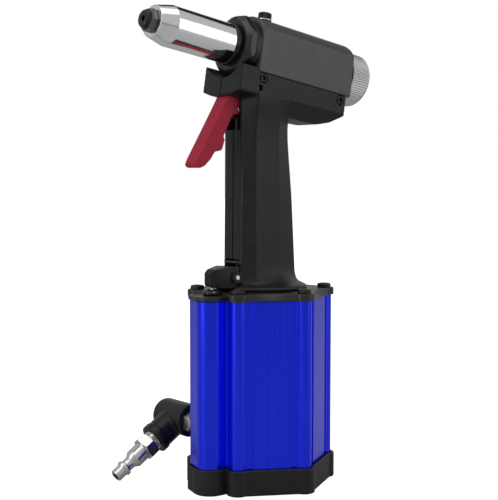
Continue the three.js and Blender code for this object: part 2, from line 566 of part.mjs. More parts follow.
head.add(
  piece('head_body', headBody(), DARK_ALLOY),
  piece('front_gland', frontGland(), BRASS),
  piece('rod_seal', rodSeal(), SEAL),
  piece('frame_head', frameHead(), CHROME),
  piece('nosepiece', nosepiece(), BLACK_STEEL),
  piece('collar_nut', collarNut(), DARK_ALLOY),
  piece('collar_ring', collarRing(), BLACK_STEEL),
  piece('head_bush', headBush(), BLACK_STEEL),
  piece('pull_piston', pullPiston(), STEEL),
  piece('pull_piston_seal', pullPistonSeal(), SEAL),
  piece('mandrel_tube', mandrelTube(), STEEL),
  piece('return_spring', solid(spring(8.4, 1.1, -53.6, -12.4, 5).rotateY(Math.PI / 2)), STEEL),
  piece('jaw_case', jawCase(), BLACK_STEEL),
  piece('jaw_spring', solid(spring(4.6, 0.7, 33.4, 39.7, 3).rotateY(Math.PI / 2)), STEEL),
  piece('jaw_pusher', jawPusher(), STEEL),
  ...[0, 1, 2].map((i) => piece(`jaw_${i + 1}`, jaw(i), STEEL)),
  piece('rear_cap', rearCap(), STEEL),
  piece('oil_plug', oilPlug(), BLACK_STEEL),
  piece('oil_plug_washer', oilPlugWasher(), STEEL),
);
elbow.add(piece('elbow_body', elbowBody(), RUBBER));
plug.add(piece('air_plug', airPlug(), STEEL));

export default tool;
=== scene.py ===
"""Looks of a hydro-pneumatic rivet gun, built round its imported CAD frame.

Shapes are written in millimetres in the part's frame: +X towards the nose, +Y the tool's left, +Z up.
The barrel has a frame of its own, HEAD: +X along the barrel, +Z square to it, on the barrel's axis.
"""

import json
import math

import bmesh
import bpy
from mathutils import Matrix, Vector

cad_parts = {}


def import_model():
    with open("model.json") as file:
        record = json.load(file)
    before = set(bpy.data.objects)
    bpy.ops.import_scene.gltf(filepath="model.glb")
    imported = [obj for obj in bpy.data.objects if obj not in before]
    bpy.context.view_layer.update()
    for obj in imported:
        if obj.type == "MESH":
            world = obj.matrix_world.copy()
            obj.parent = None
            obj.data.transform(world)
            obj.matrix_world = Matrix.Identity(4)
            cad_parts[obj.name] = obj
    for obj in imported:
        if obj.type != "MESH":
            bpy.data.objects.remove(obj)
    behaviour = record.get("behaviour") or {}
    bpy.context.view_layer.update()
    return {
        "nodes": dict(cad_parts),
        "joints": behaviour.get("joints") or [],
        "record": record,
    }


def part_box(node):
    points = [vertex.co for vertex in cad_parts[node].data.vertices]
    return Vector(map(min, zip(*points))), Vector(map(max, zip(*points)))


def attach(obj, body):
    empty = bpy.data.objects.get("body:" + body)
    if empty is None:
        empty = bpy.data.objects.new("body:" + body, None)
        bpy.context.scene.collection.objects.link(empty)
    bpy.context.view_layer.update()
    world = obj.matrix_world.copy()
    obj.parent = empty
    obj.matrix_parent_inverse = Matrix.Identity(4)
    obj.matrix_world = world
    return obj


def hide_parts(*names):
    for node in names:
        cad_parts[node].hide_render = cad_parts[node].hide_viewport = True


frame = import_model()

# Places, from the frame
MM = 0.001
joints = {joint["name"]: joint for joint in frame["joints"]}
mounts = {mount["name"]: mount for mount in frame["record"]["mounts"]}


def millimetres(point):
    return Vector(point) / MM


def box_mm(node):
    low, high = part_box(node)
    return millimetres(low), millimetres(high)


NOSE_END = 86.9                  # along the barrel, from where its axis crosses the handle's
NOSE_MOUNT_UP = 3.1              # the nose mount's point, above the barrel axis
BARREL = -Vector(joints["pull_piston_slide"]["axis"])
LEFT = Vector((0, 1, 0))
BARREL_UP = BARREL.cross(LEFT)
HEAD_ORIGIN = millimetres(mounts["nose_face"]["pos_m"]) - BARREL * NOSE_END - BARREL_UP * NOSE_MOUNT_UP
PLUG_DIRECTION = Vector(mounts["air_plug_face"]["axis"])
INLET = millimetres(joints["elbow_swivel"]["pos_m"])
TRIGGER_PIVOT = millimetres(joints["trigger_hinge"]["pos_m"])
ROCKER_PIVOT = millimetres(joints["rocker_hinge"]["pos_m"])


def axes_at(origin, x, y, z):
    """Matrix of a frame with these axes at origin."""
    matrix = Matrix((x, y, z)).transposed().to_4x4()
    matrix.translation = origin
    return matrix


PART = Matrix.Identity(4)
HEAD = axes_at(HEAD_ORIGIN, BARREL, LEFT, BARREL_UP)
PLUG = axes_at(INLET, PLUG_DIRECTION, LEFT, PLUG_DIRECTION.cross(LEFT))
ALONG_X = Matrix.Rotation(math.pi / 2, 4, "Y")       # turns local Z onto X
ALONG_Y = Matrix.Rotation(-math.pi / 2, 4, "X")      # turns local Z onto Y
ON_BARREL = HEAD @ ALONG_X
ON_PLUG = PLUG @ ALONG_X
ON_INLET = Matrix.Translation(INLET) @ ALONG_Y
VALVE = (39.5, 2.0)
ON_VALVE = Matrix.Translation((VALVE[0], VALVE[1], 0))


def across(place):
    """Frame whose Z is the part's Y, through a point (x, z)."""
    return Matrix.Translation((place[0], 0, place[1])) @ ALONG_Y


def head_place(along, down):
    """Place (x, z) of a point given along the barrel and down from its axis."""
    point = HEAD @ Vector((along, 0, -down))
    return point.x, point.z


ON_TRIGGER_PIN = across((TRIGGER_PIVOT.x, TRIGGER_PIVOT.z))
ON_LINK_PIN = across((21.4, 226))
ON_ROCKER_PIN = across((ROCKER_PIVOT.x, ROCKER_PIVOT.z))
ON_STOP_PIN = across((21.3, 135.1))
ON_FRONT_SCREW = across(head_place(10, 18))
ON_REAR_SCREW = across(head_place(-52.7, 18.3))
ON_OIL_PLUG = HEAD @ Matrix.Translation((1, 0, 0))

# Mesh building
scene = bpy.context.scene


def linked(name, mesh):
    piece = bpy.data.objects.new(name, mesh)
    scene.collection.objects.link(piece)
    return piece


def sheet(name, width, depth, height=0.0):
    """Flat rectangle in metres, facing up."""
    x, y = width / 2, depth / 2
    shape = bmesh.new()
    corners = [(-x, -y, height), (x, -y, height), (x, y, height), (-x, y, height)]
    shape.faces.new([shape.verts.new(corner) for corner in corners])
    mesh = bpy.data.meshes.new(name)
    shape.to_mesh(mesh)
    shape.free()
    return linked(name, mesh)


def from_rings(name, rings, place=PART, loop=False):
    """Closed surface through rings with equal numbers of points: capped, or a loop."""
    shape = bmesh.new()
    levels = [[shape.verts.new((place @ Vector(point)) * MM) for point in ring] for ring in rings]
    pairs = list(zip(levels, levels[1:]))
    if loop:
        pairs.append((levels[-1], levels[0]))
    else:
        shape.faces.new(levels[0])
        shape.faces.new(levels[-1])
    for low, high in pairs:
        for i in range(len(low)):
            shape.faces.new((low[i - 1], low[i], high[i], high[i - 1]))
    bmesh.ops.recalc_face_normals(shape, faces=shape.faces)
    mesh = bpy.data.meshes.new(name)
    shape.to_mesh(mesh)
    shape.free()
    return linked(name, mesh)


def arc(centre, radius, start, end, steps):
    """Points on an arc between two angles in degrees."""
    angles = [math.radians(start + (end - start) * i / steps) for i in range(steps + 1)]
    return [(centre[0] + radius * math.cos(a), centre[1] + radius * math.sin(a)) for a in angles]


def corner_curve(before, here, after, radius, steps):
    """Curve that rounds the corner at here, shortened where an edge is too short for the radius."""
    back, onward = Vector(before) - Vector(here), Vector(after) - Vector(here)
    turn = math.pi - back.angle(onward)
    reach = min(radius * math.tan(turn / 2), 0.45 * back.length, 0.45 * onward.length)
    start = Vector(here) + back.normalized() * reach
    end = Vector(here) + onward.normalized() * reach
    shares = [i / steps for i in range(steps + 1)]
    curve = [(1 - t) ** 2 * start + 2 * t * (1 - t) * Vector(here) + t * t * end for t in shares]
    return [tuple(point) for point in curve]


def rounded(corners, radius, steps=4, closed=True):
    """Polygon or open line with its corners rounded."""
    points = []
    for i, corner in enumerate(corners):
        if not closed and i in (0, len(corners) - 1):
            points.append(tuple(corner))
        else:
            points += corner_curve(corners[i - 1], corner, corners[(i + 1) % len(corners)], radius, steps)
    return points


def turned(name, profile, place=PART, edge=0.0, segments=96, shape=None):
    """Lathe piece about place's Z from (radius, height) pairs.

    A profile from the axis to the axis is solid, and any other is closed on itself.
    edge rounds its corners, and shape(radius, height, angle) can change a point's radius.
    """
    solid = profile[0][0] == 0
    if edge:
        profile = rounded(profile, edge, closed=not solid)
    if solid:
        profile = profile[1:-1]
    rings = []
    for radius, height in profile:
        ring = []
        for i in range(segments):
            angle = 2 * math.pi * i / segments
            r = shape(radius, height, angle) if shape else radius
            ring.append((r * math.cos(angle), r * math.sin(angle), height))
        rings.append(ring)
    return from_rings(name, rings, place, loop=not solid)


def prism(name, outline, low, high, place=PART):
    """Prism of an outline in place's XY plane, between two heights along its Z."""
    return from_rings(name, [[(x, y, z) for x, y in outline] for z in (low, high)], place)


def side_prism(name, outline, half, place=PART):
    """Prism of an [x, z] outline of place, as wide as twice half along Y."""
    return from_rings(name, [[(x, y, z) for x, z in outline] for y in (-half, half)], place)


def end_prism(name, outline, low, high, place=PART):
    """Prism of a [y, z] outline of place, between two places along X."""
    return from_rings(name, [[(x, y, z) for y, z in outline] for x in (low, high)], place)


def block(name, x0, x1, y0, y1, z0, z1, place=PART):
    return prism(name, [(x0, y0), (x1, y0), (x1, y1), (x0, y1)], z0, z1, place)


def rod(name, radius, low, high, place=PART, segments=64):
    return turned(name, [(0, low), (radius, low), (radius, high), (0, high)], place, segments=segments)


def polygon(sides, radius, phase=0.0):
    angles = [phase + 2 * math.pi * i / sides for i in range(sides)]
    return [(radius * math.cos(a), radius * math.sin(a)) for a in angles]


def bake(piece):
    """Applies a piece's modifiers to its mesh."""
    bpy.context.view_layer.update()
    graph = bpy.context.evaluated_depsgraph_get()
    mesh = bpy.data.meshes.new_from_object(piece.evaluated_get(graph))
    piece.modifiers.clear()
    old = piece.data
    piece.data = mesh
    bpy.data.meshes.remove(old)
    return piece


def combined(piece, tools, operation):
    for tool in tools:
        modifier = piece.modifiers.new("combine", "BOOLEAN")
        modifier.operation = operation
        modifier.solver = "EXACT"
        modifier.object = tool
    bake(piece)
    for tool in tools:
        bpy.data.objects.remove(tool)
    return piece


def cut(piece, *tools):
    return combined(piece, tools, "DIFFERENCE")


def joined(piece, *tools):
    return combined(piece, tools, "UNION")


def within(piece, *tools):
    return combined(piece, tools, "INTERSECT")


def bevelled(piece, width, segments=3, angle=35):
    """Rounds the edges that are sharper than an angle in degrees."""
    modifier = piece.modifiers.new("bevel", "BEVEL")
    modifier.width = width * MM
    modifier.segments = segments
    modifier.limit_method = "ANGLE"
    modifier.angle_limit = math.radians(angle)
    return bake(piece)


def moulded(piece, others, voxel, passes):
    """One skin over overlapping shapes, with the soft inner and outer edges of a moulding."""
    target = bmesh.new()
    for shape in [piece, *others]:
        target.from_mesh(shape.data)
    target.to_mesh(piece.data)
    target.free()
    for other in others:
        bpy.data.objects.remove(other)
    remesh = piece.modifiers.new("skin", "REMESH")
    remesh.mode = "VOXEL"
    remesh.voxel_size = voxel * MM
    smooth = piece.modifiers.new("soften", "SMOOTH")
    smooth.factor = 0.5
    smooth.iterations = passes
    return bake(piece)


def finished(piece, material, body, *nodes, sharp=38):
    """Shades a piece, gives it its material, and puts it on its body in place of CAD nodes."""
    mesh = piece.data
    mesh.polygons.foreach_set("use_smooth", [True] * len(mesh.polygons))
    mesh.set_sharp_from_angle(angle=math.radians(sharp))
    mesh.materials.clear()
    mesh.materials.append(material)
    normals = piece.modifiers.new("normals", "WEIGHTED_NORMAL")
    normals.keep_sharp = True
    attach(piece, body)
    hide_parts(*nodes)
    return piece


# Materials
def node(material, kind, **settings):
    made = material.node_tree.nodes.new(kind)
    for name, value in settings.items():
        setattr(made, name, value)
    return made


def link(material, source, target):
    material.node_tree.links.new(source, target)


def surface(name, colour, roughness, metallic=0.0, **sockets):
    """Principled material, with its uniform numbers set on the shader's own sockets."""
    material = bpy.data.materials.new(name)
    material.use_nodes = True
    shader = material.node_tree.nodes["Principled BSDF"]
    shader.inputs["Base Color"].default_value = (*colour, 1)
    shader.inputs["Roughness"].default_value = roughness
    shader.inputs["Metallic"].default_value = metallic
    for socket, value in sockets.items():
        shader.inputs[socket.replace("_", " ")].default_value = value
    material.diffuse_color = (*colour, 1)
    return material


def shader_of(material):
    return material.node_tree.nodes["Principled BSDF"]


def noise(material, scale, detail=4.0, stretch=(1, 1, 1)):
    """Noise in the piece's own space. scale is in waves per metre, less along a stretched axis."""
    place = node(material, "ShaderNodeTexCoord")
    mapping = node(material, "ShaderNodeMapping")
    mapping.inputs["Scale"].default_value = stretch
    texture = node(material, "ShaderNodeTexNoise")
    texture.inputs["Scale"].default_value = scale
    texture.inputs["Detail"].default_value = detail
    link(material, place.outputs["Object"], mapping.inputs["Vector"])
    link(material, mapping.outputs["Vector"], texture.inputs["Vector"])
    return texture.outputs["Fac"]


def turning_noise(material, axis, scale):
    """Noise that changes only along an axis, as the marks of turning do."""
    place = node(material, "ShaderNodeTexCoord")
    dot = node(material, "ShaderNodeVectorMath", operation="DOT_PRODUCT")
    dot.inputs[1].default_value = axis
    texture = node(material, "ShaderNodeTexNoise", noise_dimensions="1D")
    texture.inputs["Scale"].default_value = scale
    texture.inputs["Detail"].default_value = 3.0
    link(material, place.outputs["Object"], dot.inputs[0])
    link(material, dot.outputs["Value"], texture.inputs["W"])
    return texture.outputs["Fac"]


def ramp(material, source, stops):
    """Colour ramp of (position, colour) stops."""
    made = node(material, "ShaderNodeValToRGB")
    elements = made.color_ramp.elements
    while len(elements) < len(stops):
        elements.new(0.5)
    for element, (position, colour) in zip(elements, stops):
        element.position = position
        element.color = (*colour, 1)
    link(material, source, made.inputs["Fac"])
    return made.outputs["Color"]


def grey(value):
    return (value, value, value)


def tinted(material, source, dark, light):
    """Base colour between two shades."""
    colour = ramp(material, source, [(0.3, dark), (0.7, light)])
    link(material, colour, shader_of(material).inputs["Base Color"])
    return colour


def roughened(material, source, low, high):
    rough = ramp(material, source, [(0.3, grey(low)), (0.7, grey(high))])
    link(material, rough, shader_of(material).inputs["Roughness"])


def bumped(material, source, depth, strength=1.0):
    """Surface relief of a depth in millimetres."""
    bump = node(material, "ShaderNodeBump")
    bump.inputs["Strength"].default_value = strength
    bump.inputs["Distance"].default_value = depth * MM
    link(material, source, bump.inputs["Height"])
    link(material, bump.outputs["Normal"], shader_of(material).inputs["Normal"])


def painted_edge_highlight(material, colour, highlight_colour):
    """Paler convex edges over a base colour: a painted highlight along every convex edge."""
    sharpness = 0.56
    geometry = node(material, "ShaderNodeNewGeometry")
    stops = [(sharpness, grey(0)), (sharpness + 0.06, grey(1))]
    highlight_mask = ramp(material, geometry.outputs["Pointiness"], stops)
    mix = node(material, "ShaderNodeMix", data_type="RGBA")
    link(material, highlight_mask, mix.inputs["Factor"])
    link(material, colour, mix.inputs["A"])
    mix.inputs["B"].default_value = (*highlight_colour, 1)
    link(material, mix.outputs["Result"], shader_of(material).inputs["Base Color"])


def blue_anodised():
    material = surface("blue_anodised", (0.004, 0.02, 0.9), 0.2, 0.8, Coat_Weight=0.3, Coat_Roughness=0.08)
    die_lines = noise(material, 900, 3.0, (1, 1, 0.01))
    tinted(material, die_lines, (0.003, 0.018, 0.86), (0.005, 0.03, 1.0))
    roughened(material, die_lines, 0.17, 0.27)
    bumped(material, die_lines, 0.012, 0.5)
    return material


def grained_plastic(name, dark, light, roughness, grain=0.03):
    material = surface(name, light, roughness, Specular_IOR_Level=0.28)
    clouds = noise(material, 90, 3.0)
    # The paler convex edges are a painted highlight.
    painted_edge_highlight(material, tinted(material, clouds, dark, light), [min(1, 2.2 * c) for c in light])
    roughened(material, clouds, roughness - 0.05, roughness + 0.06)
    bumped(material, noise(material, 2600, 2.0), grain, 0.6)
    return material


def boot_rubber():
    material = surface("boot_rubber", (0.01, 0.01, 0.0105), 0.46, Specular_IOR_Level=0.3)
    dust = noise(material, 60, 5.0)
    tinted(material, dust, (0.006, 0.006, 0.0065), (0.012, 0.012, 0.0125))
    roughened(material, dust, 0.4, 0.56)
    bumped(material, noise(material, 1500, 3.0), 0.03, 0.5)
    return material


def coated_alloy(name, dark, light, roughness, sparkle=0.25):
    """Satin metallic coat on a casting."""
    material = surface(name, light, roughness, sparkle)
    flakes = noise(material, 3200, 2.0)
    # The paler convex edges are a painted highlight.
    painted_edge_highlight(material, tinted(material, flakes, dark, light), [min(1, 2.0 * c) for c in light])
    roughened(material, noise(material, 70, 4.0), roughness - 0.04, roughness + 0.07)
    bumped(material, noise(material, 1800, 3.0), 0.02, 0.5)
    return material


def black_steel():
    material = surface("black_steel", (0.018, 0.018, 0.02), 0.28, 0.6)
    clouds = noise(material, 300, 4.0)
    colour = tinted(material, clouds, (0.012, 0.012, 0.013), (0.028, 0.028, 0.03))
    # The grey convex edges are a painted highlight.
    painted_edge_highlight(material, colour, grey(0.12))
    roughened(material, clouds, 0.22, 0.36)
    return material


def turned_metal(name, dark, light, roughness, axis, marks=0.006, metallic=1.0):
    """Machined metal with fine marks square to an axis."""
    material = surface(name, light, roughness, metallic)
    lines = turning_noise(material, axis, 9000)
    tinted(material, lines, dark, light)
    roughened(material, lines, roughness * 0.8, roughness * 1.25)
    bumped(material, lines, marks, 0.6)
    return material


def plain_metal(name, dark, light, roughness):
    material = surface(name, light, roughness, 1.0)
    clouds = noise(material, 500, 4.0)
    tinted(material, clouds, dark, light)
    roughened(material, clouds, roughness - 0.06, roughness + 0.08)
    bumped(material, noise(material, 4000, 2.0), 0.005, 0.5)
    return material


def crimson_plastic():
    material = surface("crimson_plastic", (0.34, 0.006, 0.03), 0.4, Specular_IOR_Level=0.22)
    clouds = noise(material, 120, 4.0)
    # The pale pink convex edges are a painted highlight along the trigger's edges.
    painted_edge_highlight(material, tinted(material, clouds, (0.3, 0.005, 0.026), (0.38, 0.008, 0.036)), (0.5, 0.05, 0.1))
    roughened(material, clouds, 0.36, 0.48)
    bumped(material, noise(material, 2200, 2.0), 0.012, 0.5)
    return material


BLUE = blue_anodised()
RUBBER = boot_rubber()
GRIP = grained_plastic("grip_plastic", (0.007, 0.007, 0.0075), (0.012, 0.012, 0.0125), 0.4)
ROCKER_PLASTIC = grained_plastic("rocker_plastic", (0.006, 0.006, 0.0065), (0.011, 0.011, 0.0115), 0.36)
FITTING = grained_plastic("black_fitting", (0.006, 0.006, 0.0065), (0.011, 0.011, 0.0115), 0.34, 0.02)
HEAD_COAT = coated_alloy("head_coat", (0.056, 0.054, 0.057), (0.076, 0.074, 0.077), 0.4)
FLANGE_COAT = coated_alloy("flange_coat", (0.009, 0.009, 0.0095), (0.016, 0.016, 0.0165), 0.34, 0.1)
COLLAR = turned_metal(
    "collar_alloy", (0.03, 0.032, 0.032), (0.052, 0.056, 0.055), 0.24, tuple(BARREL), 0.004, 0.8
)
BLACK_STEEL = black_steel()
CHROME = turned_metal(
    "chrome_plate", (0.76, 0.76, 0.77), (0.84, 0.84, 0.84), 0.1, tuple(BARREL), 0.0008
)
# Darker steel: a painted shade for the rocker stop pin down in its slot, and the trigger rod is given it
# too.
SLOT_SHADE_STEEL = plain_metal("rod_steel_painted_shade", (0.05, 0.05, 0.052), (0.09, 0.09, 0.092), 0.4)
KNURLED = turned_metal(
    "knurled_alloy", (0.5, 0.51, 0.51), (0.66, 0.67, 0.67), 0.34, tuple(BARREL), 0.004
)
PLATED = turned_metal(
    "plated_fitting", (0.52, 0.52, 0.5), (0.7, 0.7, 0.68), 0.2, tuple(PLUG_DIRECTION), 0.004
)
STEEL = plain_metal("ground_steel", (0.5, 0.5, 0.5), (0.68, 0.68, 0.68), 0.26)
CRIMSON = crimson_plastic()
BRASS = plain_metal("brass", (0.5, 0.34, 0.12), (0.68, 0.5, 0.22), 0.3)
SEAL = grained_plastic("seal_rubber", (0.01, 0.01, 0.01), (0.018, 0.018, 0.018), 0.55)
PISTON = plain_metal("piston_alloy", (0.48, 0.48, 0.49), (0.62, 0.62, 0.63), 0.32)

# Outline of the base: a hexagon with corner lobes and the valve chamber's bulge in front
SCREW_CIRCLE = 39.3              # radius of the circle of the tie screws and lobes
LOBE_SIDE = SCREW_CIRCLE * math.sin(math.pi / 6)
LOBE_DISTANCE = SCREW_CIRCLE * math.cos(math.pi / 6)
LOBE_STEPS = 10
FILLET = 0.8
FLAT_STEPS = 8


def bulge_corners(panel, grow):
    """The bulge on a flat, as ((along, out), fillet) corners."""
    small, large = 5.3 + grow, 8.3 + grow
    curve = arc((-5, 44), small, 180, 90, 8) + arc((5, 43.5), large, 110, 0, 10)
    return [((-5 - small, panel), FILLET), *[(point, 0) for point in curve], ((5 + large, panel), FILLET)]


def plain_corners(panel, reach, dip):
    """A flat that can be hollowed by dip at its middle."""
    shares = [-1 + 2 * i / FLAT_STEPS for i in range(1, FLAT_STEPS)]
    return [((reach * t, panel - dip * (1 - t * t)), 0) for t in shares]


def grooved_corners(panel):
    """A flat with a shallow groove beside each lobe."""
    middle, half, depth = 13.0, 1.7, 0.9
    steps = [
        (-middle - half, panel), (-middle - half, panel - depth),
        (-middle + half, panel - depth), (-middle + half, panel),
    ]
    mirrored = [(-along, out) for along, out in reversed(steps)]
    return [(point, 0.35) for point in steps + mirrored]


def filleted(corners):
    """Points of an open line of (corner, fillet) pairs."""
    points = []
    for i, (corner, fillet) in enumerate(corners):
        if fillet:
            points += corner_curve(corners[i - 1][0], corner, corners[i + 1][0], fillet, 4)
        else:
            points.append(corner)
    return points


def base_outline(panel, lobe, bulge=None, dip=0.0, grooved=False):
    """Outline of flats at a distance and lobes of a radius.

    bulge is how far the bulge grows, or None where there is none.
    """
    contact = math.degrees(math.asin((panel - LOBE_DISTANCE) / lobe))
    reach = LOBE_SIDE - lobe * math.cos(math.radians(contact))
    points = []
    for flat in range(6):
        if flat == 0 and bulge is not None:
            middle = bulge_corners(panel, bulge)
        elif grooved:
            middle = grooved_corners(panel)
        else:
            middle = plain_corners(panel, reach, dip)
        rise = arc((-LOBE_SIDE, LOBE_DISTANCE), lobe, 120, contact, LOBE_STEPS)[:-1]
        fall = arc((LOBE_SIDE, LOBE_DISTANCE), lobe, 180 - contact, 60, LOBE_STEPS)[1:-1]
        corners = [(point, 0) for point in rise]
        corners += [((-reach, panel), FILLET), *middle, ((reach, panel), FILLET)]
        corners += [(point, 0) for point in fall]
        cosine, sine = math.cos(flat * math.pi / 3), math.sin(flat * math.pi / 3)
        for along, out in filleted(corners):
            points.append((out * cosine - along * sine, out * sine + along * cosine))
    return points


def mixed(first, second, share):
    """Outline between two outlines with equal numbers of points."""
    return [(a[0] + (b[0] - a[0]) * share, a[1] + (b[1] - a[1]) * share) for a, b in zip(first, second)]


def level(outline, height):
    return [(x, y, height) for x, y in outline]


# Base
PANEL = 37.3                     # from the axis to a flat of the cylinder
LOBE = 4.5
AIR_BORE = 32.5
TUBE_CLEARANCE = 11.9            # hole round the handle tube
VALVE_BORE = 4.4


def base_boot():
    low, high = box_mm("base_boot")
    outer = base_outline(39.5, 6.7, 1.7)
    inner = base_outline(PANEL + 0.35, LOBE + 0.35, 0.35)
    wall = [
        (0.45, low.z), (0.12, low.z + 0.25), (0, low.z + 0.9), (0, high.z - 0.9), (0.12, high.z - 0.3),
        (0.4, high.z), (0.65, high.z), (0.92, high.z - 0.3), (1, high.z - 0.8),
    ]
    rings = [level(mixed(outer, inner, share), height) for share, height in wall]
    rings.append(level(inner, low.z + 3))
    return finished(from_rings("rubber_boot", rings), RUBBER, "root", "base_boot", sharp=50)


def air_cylinder():
    low, high = box_mm("air_cylinder")
    body = prism("blue_cylinder", base_outline(PANEL, LOBE, 0, grooved=True), low.z, high.z)
    cut(
        body,
        rod("bore", AIR_BORE, low.z - 1, high.z + 1, segments=96),
        rod("port_mouth", 8.8, -60 - INLET.y, -27.4 - INLET.y, ON_INLET),
        rod("port", 6.5, -40 - INLET.y, -23.4 - INLET.y, ON_INLET),
        rod("valve_bore", VALVE_BORE, 69.5, high.z + 1, ON_VALVE),
    )
    bevelled(body, 0.3, 2, 60)
    return finished(body, BLUE, "root", "air_cylinder", sharp=45)


def top_flange():
    low = box_mm("air_cylinder")[1].z + 0.3
    high = box_mm("tie_screw_1")[1].z - 2.4
    bottom, top = base_outline(38.2, 6), base_outline(38.2, 6, dip=2.2)
    inset = base_outline(37.7, 5.5, dip=2.0)
    shoulder = mixed(top, inset, 0.35)
    edge = [(bottom, low), (bottom, low + 0.8), (top, high - 0.5), (shoulder, high - 0.15), (inset, high)]
    plate = from_rings("flange", [level(outline, height) for outline, height in edge])
    nose = [(30, -11.2), *arc((44, -5), 6.2, -90, 0, 8), *arc((43.5, 5), 9.2, -15, 90, 10), (30, 14.2)]
    step = bevelled(prism("flange_nose", nose, low, low + 2.8), 0.5)
    joined(plate, step)
    spigot = rod("spigot", 32.1, low - 4, low + 0.5, segments=96)
    joined(plate, spigot)
    tube_way = rod("tube_way", TUBE_CLEARANCE, low - 10, high + 5)
    cut(plate, tube_way, rod("valve_way", VALVE_BORE, low - 5, high + 5, ON_VALVE))
    cut(plate, rod("cap_seat", 6, low + 2.8, high + 5, ON_VALVE))
    return finished(plate, FLANGE_COAT, "root", "top_flange", sharp=40)


def screw(name, radius, bottom, top, shank, end, socket, place, cad, knurl=0.0):
    """Socket-head screw along place's Z, with its head between bottom and top.

    shank and socket are radii, the shank reaches to end, and knurl is a depth.
    """
    teeth = 40

    def grip(r, height, angle):
        on_side = r > radius - 0.01 and bottom + 0.3 < height < top - 0.7
        return r + (knurl * abs(math.sin(teeth * angle / 2)) - knurl if on_side else 0)

    deep = top - 0.6 * (top - bottom)
    profile = [
        (0, end), (shank, end), (shank, bottom), (radius, bottom),
        *[(radius, bottom + (top - 0.8 - bottom) * i / 8) for i in range(1, 8)],
        (radius, top - 0.8), (radius - 0.25, top - 0.3), (radius - 0.8, top),
        (socket + 0.35, top), (socket, top - 0.3), (socket * 0.9, deep), (0, deep),
    ]
    head = turned(name, profile, place, segments=160 if knurl else 64, shape=grip if knurl else None)
    cut(head, prism("socket", polygon(6, socket * 1.02), deep - 0.05, top + 1, place))
    return finished(head, BLACK_STEEL, "root", cad)


def tie_screws():
    top = box_mm("tie_screw_1")[1].z
    for i in range(6):
        angle = math.radians(30 + 60 * i)
        place = Matrix.Translation((SCREW_CIRCLE * math.cos(angle), SCREW_CIRCLE * math.sin(angle), 0))
        screw(f"cylinder_screw_{i + 1}", 4.2, top - 2.1, top, 2.5, 5.2, 2.2, place, f"tie_screw_{i + 1}")


# Handle: (height, front, rear, half-width, share of the foot's disc, radius of the disc)
GRIP_SECTIONS = [
    (118.6, 22.5, -22.2, 14.5, 1, 28), (120.2, 22.5, -22.2, 14.5, 1, 28),
    (120.9, 22.5, -22.2, 14.5, 0.98, 27.4), (121.4, 22.5, -22.2, 14.5, 0.93, 26.2),
    (122.4, 22.5, -22.2, 14.5, 0.7, 25), (124, 22.5, -22.2, 14.5, 0.45, 24.2),
    (126.5, 22.5, -22.2, 14.5, 0.22, 23.6), (129.5, 22.5, -22.2, 14.5, 0.07, 23),
    (133, 22.5, -22.2, 14.5, 0, 23),
    (172, 22, -19.9, 14.5, 0, 23), (200, 21.8, -17.2, 14.5, 0, 23), (208, 21.7, -16.5, 14.6, 0, 23),
    (215, 21.7, -16.4, 15, 0, 23), (220, 21.7, -16.9, 15.5, 0, 23), (225, 21.7, -18.4, 16.3, 0, 23),
    (229, 21.7, -21, 17.1, 0, 23), (232, 21.7, -25, 17.45, 0, 23), (234, 21.7, -29.5, 17.45, 0, 23),
    (246, 21.7, -32, 17.45, 0, 23),
]
ROD_X = 18.5                     # middle of the trigger rod's slot
HANDLE_HALF = 17.5               # half the width of the guard and the shelf


def grip_ring(height, front, rear, half, disc, radius):
    """Octagon with a slim rear, mixed with a disc at the foot."""
    corners = [
        (front, -8), (front, 8), (16.4, half), (-1.2, half), (rear + 3, 9),
        (rear, 4.5), (rear, -4.5), (rear + 3, -9), (-1.2, -half), (16.4, -half),
    ]
    ring = []
    for i, corner in enumerate(corners):
        onward = corners[(i + 1) % len(corners)]
        for step in range(6):
            point = Vector(corner).lerp(Vector(onward), step / 6)
            ring.append((*point.lerp(point.normalized() * radius, disc), height))
    return ring


def grip():
    return from_rings("grip", [grip_ring(*section) for section in GRIP_SECTIONS])


def guard_block():
    side = [(27.3, -8), (27.3, -30.2), (24.5, -31.8), (16, -31.6), (10, -40), (-12, -40), (-12, -8)]
    half = HANDLE_HALF
    end = [(-half, -28.3), (-10, -30.6), (0, -31.8), (10, -30.6), (half, -28.3), (half, 0), (-half, 0)]
    guard = within(side_prism("guard", side, 20, HEAD), end_prism("guard_end", end, -12, 40, HEAD))
    return bevelled(guard, 2.6, 4, 30)


def shelf_block():
    side = [(-8, -8), (-58, -8), (-58, -27.5), (-51.5, -32.5), (-44, -35), (-36, -35.6), (-8, -35.6)]
    half = HANDLE_HALF
    end = [(-half, -27), (-9, -35.6), (9, -35.6), (half, -27), (half, 0), (-half, 0)]
    return within(side_prism("shelf", side, 20, HEAD), end_prism("shelf_end", end, -60, 0, HEAD))


def rocker_ears():
    """The two lugs that hold the rocker's pin."""
    x, z = ROCKER_PIVOT.x, ROCKER_PIVOT.z
    ears = []
    for low, high in ((6.6, 9.3), (-9.3, -6.6)):
        ears.append(rod("ear", 3.1, low, high, ON_ROCKER_PIN))
        ears.append(block("ear_root", 15, x, low, high, z - 3.1, z + 3.1))
    return ears


